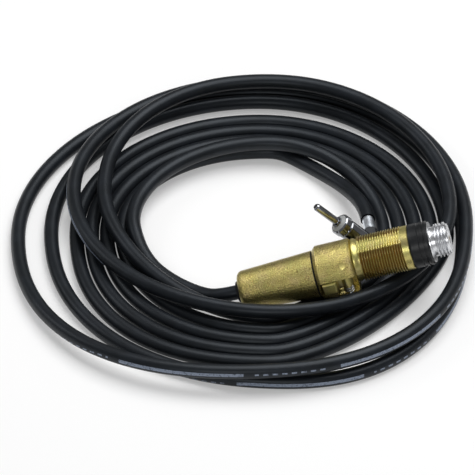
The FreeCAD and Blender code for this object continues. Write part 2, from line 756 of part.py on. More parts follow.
def all_pieces():
    """Every piece where it lies, moved so that the origin is under the middle of the head."""
    pieces = {}
    for maker in HEAD_PIECES:
        pieces[maker.__name__] = placed(maker(), head_placement())
    box = Part.makeCompound(list(pieces.values())).optimalBoundingBox(False)
    for maker in PLUG_PIECES:
        pieces[maker.__name__] = placed(maker(), plug_placement())
    pieces.update(cord_pieces())
    origin = Vector((box.XMin + box.XMax) / 2, (box.YMin + box.YMax) / 2, box.ZMin)
    print("origin at %.4f %.4f %.4f" % tuple(origin))
    shift = FreeCAD.Placement(origin * -1, FreeCAD.Rotation())
    return {name: placed(shape, shift) for name, shape in pieces.items()}


def placed(shape, placement):
    """A copy of a piece moved from its own frame to where it lies."""
    moved = shape.copy()
    moved.Placement = placement.multiply(moved.Placement)
    return moved


def main():
    """Build every piece in its place and write one file for each."""
    os.makedirs("parts", exist_ok=True)
    for name, shape in all_pieces().items():
        shape.exportStep(os.path.join("parts", name + ".step"))
        box = shape.BoundBox
        print("%-18s valid %s solids %d volume %.1f z %.2f to %.2f"
              % (name, shape.isValid(), len(shape.Solids), shape.Volume, box.ZMin, box.ZMax))


main()
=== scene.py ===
"""Vehicle antenna base on its wound coaxial lead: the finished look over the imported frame."""
import json
import logging
import math
from dataclasses import dataclass
from enum import Enum
from typing import Any

import bmesh
import bpy
import numpy as np
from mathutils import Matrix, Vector


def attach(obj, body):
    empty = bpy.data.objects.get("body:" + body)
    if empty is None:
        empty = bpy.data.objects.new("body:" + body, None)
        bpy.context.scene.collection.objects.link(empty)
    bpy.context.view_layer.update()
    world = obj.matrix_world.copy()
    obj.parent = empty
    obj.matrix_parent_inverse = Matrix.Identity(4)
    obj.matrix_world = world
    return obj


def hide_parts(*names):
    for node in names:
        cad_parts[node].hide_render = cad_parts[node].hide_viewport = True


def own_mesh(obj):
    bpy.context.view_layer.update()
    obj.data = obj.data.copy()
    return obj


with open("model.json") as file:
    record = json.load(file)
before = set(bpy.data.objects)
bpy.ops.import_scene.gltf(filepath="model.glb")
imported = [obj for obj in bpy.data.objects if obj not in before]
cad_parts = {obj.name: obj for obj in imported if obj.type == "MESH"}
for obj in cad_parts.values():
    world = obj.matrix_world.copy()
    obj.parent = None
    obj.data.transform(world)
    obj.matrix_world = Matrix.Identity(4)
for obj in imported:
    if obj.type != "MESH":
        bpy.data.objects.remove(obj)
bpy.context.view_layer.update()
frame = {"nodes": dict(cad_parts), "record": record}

LOG = logging.getLogger("antenna_base")
MM = 0.001
FULL_TURN = 2 * math.pi
CORNER_ANGLE = math.radians(32)
LEAST_COSINE = 1e-6
# The Mix node has sockets for each kind of value. These are the numbers of its colour sockets.
MIX_LOW, MIX_HIGH, MIX_RESULT = 6, 7, 2
BODY = "base"
Node = bpy.types.Node
Socket = bpy.types.NodeSocket
Material = bpy.types.Material
Piece = bpy.types.Object
Colour = tuple[float, float, float, float]
Point = tuple[float, float, float]


class Grain(Enum):
    """How a metal's surface was made."""

    CAST = "cast"
    TURNED = "turned"
    POLISHED = "polished"


class Shading(Enum):
    """Whether a surface's shading runs smoothly or breaks at its corners."""

    SMOOTH = "smooth"
    BROKEN = "broken"


class NodeSheet:
    """A material's node tree, with short ways to add and join nodes."""

    def __init__(self, name: str) -> None:
        """Start an empty tree with its output.

        Args:
            name: The material's name.
        """
        self.material = bpy.data.materials.new(name)
        self.material.use_nodes = True
        self.tree = self.material.node_tree
        self.tree.nodes.clear()
        self.output = self.tree.nodes.new("ShaderNodeOutputMaterial")

    def add(self, kind: str, **settings: Any) -> Node:
        """Add a node and set its properties.

        Args:
            kind: The node's type name.
            **settings: Properties and their values.

        Returns:
            The new node.
        """
        node = self.tree.nodes.new(kind)
        for key, value in settings.items():
            setattr(node, key, value)
        return node

    def join(self, source: Any, target: Socket) -> None:
        """Join a socket, or set a plain value on the target.

        Args:
            source: An output socket, or a number or colour.
            target: The input socket.
        """
        if isinstance(source, bpy.types.NodeSocket):
            self.tree.links.new(source, target)
        else:
            target.default_value = source

    def math(self, operation: str, first: Any, second: Any = 0.0) -> Socket:
        """One arithmetic step.

        Args:
            operation: The Math node's operation.
            first: First value or socket.
            second: Second value or socket.

        Returns:
            The result's socket.
        """
        node = self.add("ShaderNodeMath", operation=operation)
        self.join(first, node.inputs[0])
        self.join(second, node.inputs[1])
        return node.outputs[0]

    def scaled(self, value: Socket, share: float, base: float = 0.0) -> Socket:
        """A value times a share, added to a base if there is one."""
        product = self.math("MULTIPLY", value, share)
        return self.math("ADD", product, base) if base else product

    def blend(self, factor: Any, low: Any, high: Any) -> Socket:
        """Mix two colours.

        Args:
            factor: How much of the second, from 0 to 1.
            low: First colour or socket.
            high: Second colour or socket.

        Returns:
            The mixed colour's socket.
        """
        node = self.add("ShaderNodeMix", data_type="RGBA")
        self.join(factor, node.inputs["Factor"])
        self.join(low, node.inputs[MIX_LOW])
        self.join(high, node.inputs[MIX_HIGH])
        return node.outputs[MIX_RESULT]

    def ramp(self, value: Socket, low: float, high: float) -> Socket:
        """Stretch a value so that low becomes 0 and high becomes 1.

        Args:
            value: The value's socket.
            low: The value that becomes 0.
            high: The value that becomes 1.

        Returns:
            The stretched value's socket.
        """
        node = self.add("ShaderNodeMapRange")
        self.join(value, node.inputs["Value"])
        node.inputs["From Min"].default_value = low
        node.inputs["From Max"].default_value = high
        return node.outputs["Result"]

    def noise(self, place: Socket, scale: float, detail: float) -> Socket:
        """Cloudy noise over a position.

        Args:
            place: The position's socket, in metres.
            scale: How many blobs there are in a metre.
            detail: How many finer layers there are.

        Returns:
            The noise value's socket.
        """
        node = self.add("ShaderNodeTexNoise")
        node.inputs["Scale"].default_value = scale
        node.inputs["Detail"].default_value = detail
        self.join(place, node.inputs["Vector"])
        return node.outputs["Fac"]

    def place(self) -> Socket:
        """The position on the piece that patterns read: its Object coordinates."""
        return self.add("ShaderNodeTexCoord").outputs["Object"]

    def map_place(self) -> tuple[Socket, Socket]:
        """The two numbers of the piece's own UV map.

        Returns:
            The sockets of the first number and of the second.
        """
        split = self.add("ShaderNodeSeparateXYZ")
        self.join(self.add("ShaderNodeTexCoord").outputs["UV"], split.inputs[0])
        return split.outputs[0], split.outputs[1]

    def bump(self, height: Socket, distance: float, strength: float) -> Socket:
        """Surface relief from a height.

        Args:
            height: The height's socket.
            distance: How tall a height of 1 is, in metres.
            strength: How strongly it shows.

        Returns:
            The bent normal's socket.
        """
        node = self.add("ShaderNodeBump")
        node.inputs["Distance"].default_value = distance
        node.inputs["Strength"].default_value = strength
        self.join(height, node.inputs["Height"])
        return node.outputs["Normal"]

    def surface(self, colour: Socket, rough: Socket, metal: float, normal: Socket, **plain: Any) -> Material:
        """Finish the material with one shader.

        Args:
            colour: The base colour's socket.
            rough: The roughness's socket.
            metal: 1 for bare metal, 0 for the rest.
            normal: The bent normal's socket.
            **plain: Other shader inputs, named with spaces as underscores.

        Returns:
            The finished material.
        """
        shader = self.add("ShaderNodeBsdfPrincipled")
        self.join(colour, shader.inputs["Base Color"])
        self.join(rough, shader.inputs["Roughness"])
        shader.inputs["Metallic"].default_value = metal
        for key, value in plain.items():
            shader.inputs[key.replace("_", " ")].default_value = value
        self.join(normal, shader.inputs["Normal"])
        self.join(shader.outputs[0], self.output.inputs[0])
        return self.material


def rgb(red: float, green: float, blue: float) -> Colour:
    """A colour with full cover, from its three parts."""
    return (red, green, blue, 1.0)


@dataclass(frozen=True)
class Grit:
    """Noise on a piece: its blobs in a metre, its finer layers, and the values that stand for none and for all."""

    scale: float
    detail: float
    none: float = 0.0
    full: float = 1.0

    def raw(self, sheet: NodeSheet, place: Socket) -> Socket:
        """The noise as it comes."""
        return sheet.noise(place, self.scale, self.detail)

    def cover(self, sheet: NodeSheet, place: Socket) -> Socket:
        """How much of the surface it covers, from 0 to 1."""
        return sheet.ramp(self.raw(sheet, place), self.none, self.full)


@dataclass(frozen=True)
class Relief:
    """A made surface: its noise, its height in metres, how strongly it shows, and its least roughness."""

    grit: Grit
    depth: float
    strength: float
    rough: float


ZINC_RELIEF = {
    Grain.CAST: Relief(Grit(1900.0, 3.0, 0.62, 0.36), 0.50 * MM, 0.6, 0.20),
    Grain.TURNED: Relief(Grit(2600.0, 2.0), 0.06 * MM, 0.35, 0.24),
}
METAL_DEPTH = {Grain.TURNED: 0.04 * MM, Grain.POLISHED: 0.004 * MM}


@dataclass(frozen=True)
class YellowPassivated:
    """Yellow-passivated zinc: gold with green clouds, pink patches and brown spots, on a cast or a turned surface.

    A cast surface has brown pits too. A thread's roots turn a darker brown, by the second number of the UV map,
    which is the depth in the thread.
    """

    name: str
    grain: Grain
    roots: bool = False
    gold: Colour = rgb(0.68, 0.59, 0.21)
    green: Colour = rgb(0.48, 0.46, 0.16)
    brown: Colour = rgb(0.36, 0.24, 0.07)
    pink: Colour = rgb(0.62, 0.49, 0.27)
    root_brown: Colour = rgb(0.30, 0.15, 0.03)
    clouds: Grit = Grit(90.0, 3.0, 0.40, 0.62)
    patches: Grit = Grit(240.0, 3.0, 0.45, 0.70)
    spots: Grit = Grit(1500.0, 2.0, 0.45, 0.75)
    patch_share: float = 0.55
    spot_share: float = 0.45
    root_share: float = 0.85
    pit_share: float = 0.55
    rough_spread: float = 0.20
    metal: float = 0.95

    def material(self) -> Material:
        """Build the finish.

        Returns:
            The finished material.
        """
        sheet = NodeSheet(self.name)
        place = sheet.place()
        relief = ZINC_RELIEF[self.grain]
        height = relief.grit.raw(sheet, place)
        colour = sheet.blend(self.clouds.cover(sheet, place), self.gold, self.green)
        colour = sheet.blend(sheet.scaled(self.patches.cover(sheet, place), self.patch_share), colour, self.pink)
        colour = sheet.blend(sheet.scaled(self.spots.cover(sheet, place), self.spot_share), colour, self.brown)
        if self.roots:
            # Darker brown towards the thread's roots, growing with the depth in the thread.
            _, depth = sheet.map_place()
            colour = sheet.blend(sheet.scaled(depth, self.root_share), colour, self.root_brown)
        if self.grain is Grain.CAST:
            pits = sheet.ramp(height, relief.grit.none, relief.grit.full)
            colour = sheet.blend(sheet.scaled(pits, self.pit_share), colour, self.brown)
        normal = sheet.bump(height, relief.depth, relief.strength)
        return sheet.surface(colour, sheet.scaled(height, self.rough_spread, relief.rough), self.metal, normal)


@dataclass(frozen=True)
class BareMetal:
    """Bare or plated metal, smeared darker in places, with the marks of its making."""

    name: str
    colour: Colour
    rough: float
    grain: Grain
    smear: Grit = Grit(420.0, 3.0, 0.30, 0.75)
    fine: Grit = Grit(5200.0, 2.0)
    dark_share: float = 0.80
    rough_least: float = 0.75
    rough_spread: float = 0.50
    strength: float = 0.4

    def material(self) -> Material:
        """Build the finish.

        Returns:
            The finished material.
        """
        sheet = NodeSheet(self.name)
        place = sheet.place()
        smear = self.smear.raw(sheet, place)
        dark = rgb(*(part * self.dark_share for part in self.colour[:3]))
        colour = sheet.blend(sheet.ramp(smear, self.smear.none, self.smear.full), dark, self.colour)
        rough = sheet.scaled(smear, self.rough_spread * self.rough, self.rough_least * self.rough)
        normal = sheet.bump(self.fine.raw(sheet, place), METAL_DEPTH[self.grain], self.strength)
        return sheet.surface(colour, rough, 1.0, normal)


@dataclass(frozen=True)
class Moulded:
    """Moulded plastic or rubber: an even colour with a faint cloud of dust and a fine grain."""

    name: str
    colour: Colour
    dust: Colour
    rough: float
    specular: float = 0.5
    cloud: Grit = Grit(160.0, 4.0, 0.42, 0.78)
    grain: Grit = Grit(3800.0, 2.0)
    dust_share: float = 0.35
    rough_spread: float = 0.14
    grain_depth: float = 0.03 * MM
    strength: float = 0.4

    def material(self) -> Material:
        """Build the finish.

        Returns:
            The finished material.
        """
        sheet = NodeSheet(self.name)
        place = sheet.place()
        dust = sheet.scaled(self.cloud.cover(sheet, place), self.dust_share)
        grain = self.grain.raw(sheet, place)
        rough = sheet.scaled(grain, self.rough_spread, self.rough - self.rough_spread / 2)
        normal = sheet.bump(grain, self.grain_depth, self.strength)
        return sheet.surface(sheet.blend(dust, self.colour, self.dust), rough, 0.0, normal,
                             Specular_IOR_Level=self.specular)


@dataclass(frozen=True)
class CableJacket:
    """Cable jacket: blue-black, softly glossy, with plain pale bars and short dashes along one side.

    Bars and dashes repeat every pitch. Their starts, ends and shares are shares of that pitch, and their half
    widths are shares of the way round the cable.
    """

    name: str = "cable_jacket"
    colour: Colour = rgb(0.0060, 0.0072, 0.0090)
    bloom: Colour = rgb(0.017, 0.021, 0.028)
    ink: Colour = rgb(0.24, 0.28, 0.36)
    sheen: Colour = rgb(0.84, 0.92, 1.0)
    specular: float = 0.30
    cloud: Grit = Grit(120.0, 4.0, 0.40, 0.80)
    wear: Grit = Grit(1300.0, 3.0, 0.25, 0.50)
    grain: Grit = Grit(2600.0, 3.0)
    bloom_share: float = 0.5
    ink_share: float = 0.9
    rough_least: float = 0.32
    rough_spread: float = 0.16
    grain_depth: float = 0.05 * MM
    strength: float = 0.35
    line: float = 0.5
    pitch: float = 92.2 * MM
    first_bar: float = 9.2 * MM
    bar_share: float = 0.565
    bar_half_width: float = 0.040
    dash_start: float = 0.62
    dash_end: float = 0.95
    dash_pitch: float = 3.9 * MM
    dash_share: float = 0.55
    dash_half_width: float = 0.020

    def marks(self, sheet: NodeSheet) -> Socket:
        """Where the bars and dashes are: 1 on them and 0 beside.

        The UV map's first number is the way along the cable in metres, its second the share of the way round.

        Args:
            sheet: The material's node tree.

        Returns:
            The marks' socket.
        """
        along, around = sheet.map_place()
        past_first = sheet.math("SUBTRACT", along, self.first_bar)
        station = sheet.math("FRACT", sheet.math("DIVIDE", past_first, self.pitch))
        off_line = sheet.math("ABSOLUTE", sheet.math("SUBTRACT", around, self.line))
        bar = sheet.math("MULTIPLY", sheet.math("LESS_THAN", station, self.bar_share),
                         sheet.math("LESS_THAN", off_line, self.bar_half_width))
        inside = sheet.math("MULTIPLY", sheet.math("GREATER_THAN", station, self.dash_start),
                            sheet.math("LESS_THAN", station, self.dash_end))
        half = self.dash_pitch / 2
        inked = sheet.math("LESS_THAN", sheet.math("PINGPONG", along, half), half * self.dash_share)
        dash = sheet.math("MULTIPLY", inked, sheet.math("LESS_THAN", off_line, self.dash_half_width))
        return sheet.math("MAXIMUM", bar, sheet.math("MULTIPLY", inside, dash))

    def material(self) -> Material:
        """Build the finish.

        Returns:
            The finished material.
        """
        sheet = NodeSheet(self.name)
        place = sheet.place()
        bloom = sheet.scaled(self.cloud.cover(sheet, place), self.bloom_share)
        ink = sheet.math("MULTIPLY", self.marks(sheet), self.wear.cover(sheet, place))
        colour = sheet.blend(bloom, self.colour, self.bloom)
        colour = sheet.blend(sheet.scaled(ink, self.ink_share), colour, self.ink)
        grain = self.grain.raw(sheet, place)
        rough = sheet.scaled(grain, self.rough_spread, self.rough_least)
        normal = sheet.bump(grain, self.grain_depth, self.strength)
        return sheet.surface(colour, rough, 0.0, normal, Specular_IOR_Level=self.specular,
                             Specular_Tint=self.sheen)


def grid_faces(rows: int, columns: int) -> np.ndarray:
    """Four-cornered faces between neighbouring points of a grid whose last column joins the first.

    Args:
        rows: Points along the first parameter.
        columns: Points along the second parameter, which goes round.

    Returns:
        Faces as rows of four point numbers.
    """
    row, column = np.meshgrid(np.arange(rows - 1), np.arange(columns), indexing="ij")
    here, above = row * columns, (row + 1) * columns
    beside = (column + 1) % columns
    return np.stack((here + column, here + beside, above + beside, above + column), axis=-1).reshape(-1, 4)


def way_along(points: np.ndarray) -> np.ndarray:
    """How far along a line each of its points is: the sum of the steps before it."""
    return np.concatenate([[0.0], np.cumsum(np.linalg.norm(np.diff(points, axis=0), axis=1))])


def put_in_scene(name: str, data: bpy.types.ID) -> Piece:
    """Make an object of a mesh, curve, camera or lamp, and link it to the scene.

    Args:
        name: The object's name.
        data: What it shows or does.

    Returns:
        The new object.
    """
    piece = bpy.data.objects.new(name, data)
    bpy.context.scene.collection.objects.link(piece)
    return piece


def mesh_piece(name: str, points: np.ndarray, faces: np.ndarray, material: Material,
               shading: Shading = Shading.BROKEN, uv: np.ndarray | None = None) -> Piece:
    """Put worked-out points and faces into a new piece.

    Args:
        name: The piece's name.
        points: Points in the row frame, in metres.
        faces: Faces as rows of four point numbers.
        material: The piece's finish.
        shading: Whether shading breaks at corners.
        uv: One map position for each face corner, if the finish needs it.

    Returns:
        The new piece, with its place in its mesh.
    """
    mesh = bpy.data.meshes.new(name)
    mesh.vertices.add(len(points))
    mesh.vertices.foreach_set("co", np.ascontiguousarray(points, dtype=np.float32).ravel())
    mesh.loops.add(faces.size)
    mesh.loops.foreach_set("vertex_index", faces.astype(np.int32).ravel())
    mesh.polygons.add(len(faces))
    mesh.polygons.foreach_set("loop_start", np.arange(0, faces.size, 4, dtype=np.int32))
    mesh.update(calc_edges=True)
    mesh.polygons.foreach_set("use_smooth", np.ones(len(faces), dtype=bool))
    if uv is not None:
        layer = mesh.uv_layers.new(name="UVMap")
        layer.uv.foreach_set("vector", uv.astype(np.float32).ravel())
    mesh.validate()
    if shading is Shading.BROKEN:
        mesh.set_sharp_from_angle(angle=CORNER_ANGLE)
    mesh.materials.append(material)
    return put_in_scene(name, mesh)


@dataclass(frozen=True)
class HeadFrame:
    """The head's own axes in the row frame: x along the sleeve towards the nose, -y towards the claw."""

    rear_point: np.ndarray
    axes: np.ndarray
    sleeve_middle: float = 61.7 * MM

    @classmethod
    def from_record(cls, record: dict) -> "HeadFrame":
        """Read the axes from the sleeve's mount and the claw's hinge.

        Args:
            record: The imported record.

        Returns:
            The head's frame.
        """
        sleeve = next(mount for mount in record["mounts"] if mount["name"] == "panel_sleeve")
        hinge = next(joint for joint in record["behaviour"]["joints"] if joint["name"] == "claw_fold")
        along = np.array(sleeve["axis"], dtype=float)
        up = -np.array(hinge["axis"], dtype=float)
        axes = np.stack([along, np.cross(up, along), up])
        return cls(np.array(sleeve["pos_m"], dtype=float) - along * cls.sleeve_middle, axes)

    def place(self, points: np.ndarray) -> np.ndarray:
        """Points of the head's own frame, in the row frame."""
        return self.rear_point + points @ self.axes


@dataclass(frozen=True)
class Thread:
    """A cut thread: its place and size, its number of turns, and the flat milled along it, if there is one.

    The land is the share of half a pitch that is level at the crest, and as much is level at the root. The run-out
    is the share of a pitch in which the thread fades at each end.
    """

    start: float
    length: float
    crest_radius: float
    depth: float
    turns: int
    flat_height: float | None = None
    flat_turn: float = 0.0
    samples_per_turn: int = 12
    land: float = 0.12
    run_out: float = 0.3

    @property
    def end(self) -> float:
        """Where the thread ends, along the head."""
        return self.start + self.length

    def along(self) -> np.ndarray:
        """The x values of the thread's rows."""
        return np.linspace(self.start, self.end, self.turns * self.samples_per_turn + 1)

    def radii(self, along: np.ndarray, columns: int) -> tuple[np.ndarray, np.ndarray]:
        """Radius for each x and angle: the crest less the depth times a saw with level lands, climbing once a turn.

        Args:
            along: The x values.
            columns: How many angles there are.

        Returns:
            Radii, one row for each x, and how deep in the thread each point is, from 0 at the crest to 1.
        """
        pitch = self.length / self.turns
        angle = np.linspace(0.0, FULL_TURN, columns, endpoint=False)
        phase = (along[:, None] - self.start) / pitch - angle[None, :] / FULL_TURN
        saw = np.abs((phase % 1.0) * 2.0 - 1.0)
        tooth = np.clip((saw - self.land) / (1.0 - 2.0 * self.land), 0.0, 1.0)
        to_end = np.minimum(along - self.start, self.end - along)[:, None]
        deep = tooth * np.clip(to_end / (self.run_out * pitch), 0.0, 1.0)
        radius = self.crest_radius - self.depth * deep
        if self.flat_height is not None:
            flat = (self.flat_height / np.maximum(np.cos(angle + self.flat_turn), LEAST_COSINE))[None, :]
            deep = np.where(flat < self.crest_radius, 0.0, deep)
            radius = np.minimum(radius, flat)
        return radius, deep


@dataclass(frozen=True)
class Turning:
    """A turned surface about the head's axis: an outline of x and radius, spun round."""

    head: HeadFrame
    columns: int

    def outline(self, before: list, thread: Thread, after: list) -> tuple[np.ndarray, np.ndarray, np.ndarray]:
        """An outline with a thread in its middle.

        Args:
            before: Plain points of x and radius that lead to the thread.
            thread: The thread.
            after: Plain points that follow it.

        Returns:
            The x values, the radii with one row for each x, and how deep in the thread each point is.
        """
        lead_in, lead_out = np.array(before), np.array(after)
        along = thread.along()
        cut, deep = thread.radii(along, self.columns)
        rows = [np.repeat(part[:, 1:2], self.columns, axis=1) for part in (lead_in, lead_out)]
        x = np.concatenate([lead_in[:, 0], along, lead_out[:, 0]])
        none = [np.zeros_like(part) for part in rows]
        return x, np.concatenate([rows[0], cut, rows[1]]), np.concatenate([none[0], deep, none[1]])

    def grid(self, x: np.ndarray, radius: np.ndarray) -> np.ndarray:
        """Spin an outline: each point is (x, r sin a, r cos a) for its x, its radius r and every angle a.

        Args:
            x: The outline's x values.
            radius: The radii, one row for each x.

        Returns:
            Points in the row frame, row by row.
        """
        angle = np.linspace(0.0, FULL_TURN, self.columns, endpoint=False)
        along = np.broadcast_to(x[:, None], radius.shape)
        local = np.stack([along, radius * np.sin(angle), radius * np.cos(angle)], axis=-1)
        return self.head.place(local.reshape(-1, 3))


@dataclass
class SleevePiece:
    """The threaded sleeve: collar, relief, fine thread with a milled flat, and lip."""

    head: HeadFrame
    finish: Material
    columns: int = 192
    rear: float = 49.4 * MM
    collar_radius: float = 9.1 * MM
    collar_length: float = 2.2 * MM
    relief_radius: float = 8.6 * MM
    lip_radius: float = 9.3 * MM
    lip_length: float = 3.2 * MM
    chamfer: float = 0.45 * MM
    bore_radius: float = 6.95 * MM
    bore_depth: float = 6.0 * MM
    thread: Thread = Thread(start=52.4 * MM, length=18.6 * MM, crest_radius=9.5 * MM, depth=0.85 * MM, turns=17,
                            flat_height=8.85 * MM, flat_turn=math.radians(13))

    def build(self) -> Piece:
        """Build the sleeve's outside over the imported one. Its UV map's second number is the depth in the thread.

        Returns:
            The finished piece.
        """
        front = self.rear + self.collar_length
        before = [(self.rear, self.bore_radius), (self.rear, self.collar_radius - self.chamfer),
                  (self.rear + self.chamfer, self.collar_radius), (front - 2 * self.chamfer, self.collar_radius),
                  (front, self.relief_radius), (self.thread.start, self.relief_radius)]
        tip = self.thread.end + self.lip_length
        after = [(self.thread.end, self.lip_radius), (tip - self.chamfer, self.lip_radius),
                 (tip, self.lip_radius - self.chamfer), (tip, self.bore_radius),
                 (tip - self.bore_depth, self.bore_radius)]
        turning = Turning(self.head, self.columns)
        x, radius, deep = turning.outline(before, self.thread, after)
        faces = grid_faces(len(x), self.columns)
        share = deep.ravel()[faces.ravel()]
        piece = mesh_piece("threaded_sleeve_cut", turning.grid(x, radius), faces, self.finish,
                           uv=np.stack([np.zeros_like(share), share], axis=-1))
        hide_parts("threaded_sleeve")
        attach(piece, BODY)
        return piece


@dataclass
class NosePiece:
    """The nose stud: neck, coarse thread, plain tip and bore."""

    head: HeadFrame
    finish: Material
    columns: int = 144
    rear: float = 83.1 * MM
    shank_radius: float = 3.7 * MM
    neck_radius: float = 6.3 * MM
    neck_length: float = 2.0 * MM
    bore_radius: float = 2.3 * MM
    bore_depth: float = 11.5 * MM
    bore_chamfer: float = 0.5 * MM
    bore_end_radius: float = 0.1 * MM
    tip_radius: float = 6.3 * MM
    tip_length: float = 1.0 * MM
    chamfer: float = 0.3 * MM
    thread: Thread = Thread(start=85.1 * MM, length=4.3 * MM, crest_radius=7.15 * MM, depth=0.85 * MM, turns=3,
                            samples_per_turn=16)

    def build(self) -> Piece:
        """Build the stud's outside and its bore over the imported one.

        Returns:
            The finished piece.
        """
        tip = self.thread.end + self.tip_length
        floor = tip - self.bore_depth
        before = [(self.rear, self.shank_radius), (self.rear, self.neck_radius),
                  (self.rear + self.neck_length - self.chamfer, self.neck_radius)]
        after = [(self.thread.end, self.tip_radius), (tip - self.chamfer, self.tip_radius),
                 (tip, self.tip_radius - self.chamfer), (tip, self.bore_radius + self.bore_chamfer),
                 (tip - self.bore_chamfer, self.bore_radius), (floor, self.bore_radius),
                 (floor, self.bore_end_radius)]
        turning = Turning(self.head, self.columns)
        x, radius, _ = turning.outline(before, self.thread, after)
        piece = mesh_piece("nose_stud_cut", turning.grid(x, radius), grid_faces(len(x), self.columns), self.finish)
        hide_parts("nose_stud")
        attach(piece, BODY)
        return piece


@dataclass
class ContactSpring:
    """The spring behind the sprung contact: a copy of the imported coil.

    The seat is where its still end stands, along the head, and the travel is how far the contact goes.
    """

    head: HeadFrame
    finish: Material
    seat: float = 78.43 * MM
    length: float = 9.72 * MM
    travel: float = 1.5 * MM
    weld: float = 0.001 * MM

    def build(self) -> Piece:
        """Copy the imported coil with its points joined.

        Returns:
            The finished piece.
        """
        mesh = frame["nodes"]["contact_spring"].data.copy()
        wire = bmesh.new()
        wire.from_mesh(mesh)
        bmesh.ops.remove_doubles(wire, verts=wire.verts, dist=self.weld)
        wire.to_mesh(mesh)
        wire.free()
        mesh.polygons.foreach_set("use_smooth", np.ones(len(mesh.polygons), dtype=bool))
        mesh.materials.clear()
        mesh.materials.append(self.finish)
        piece = put_in_scene("contact_spring_wire", mesh)
        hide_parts("contact_spring")
        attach(piece, BODY)
        anchor = self.head.place(np.array([[self.seat, 0.0, 0.0]]))[0]
        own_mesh(piece)
        return piece


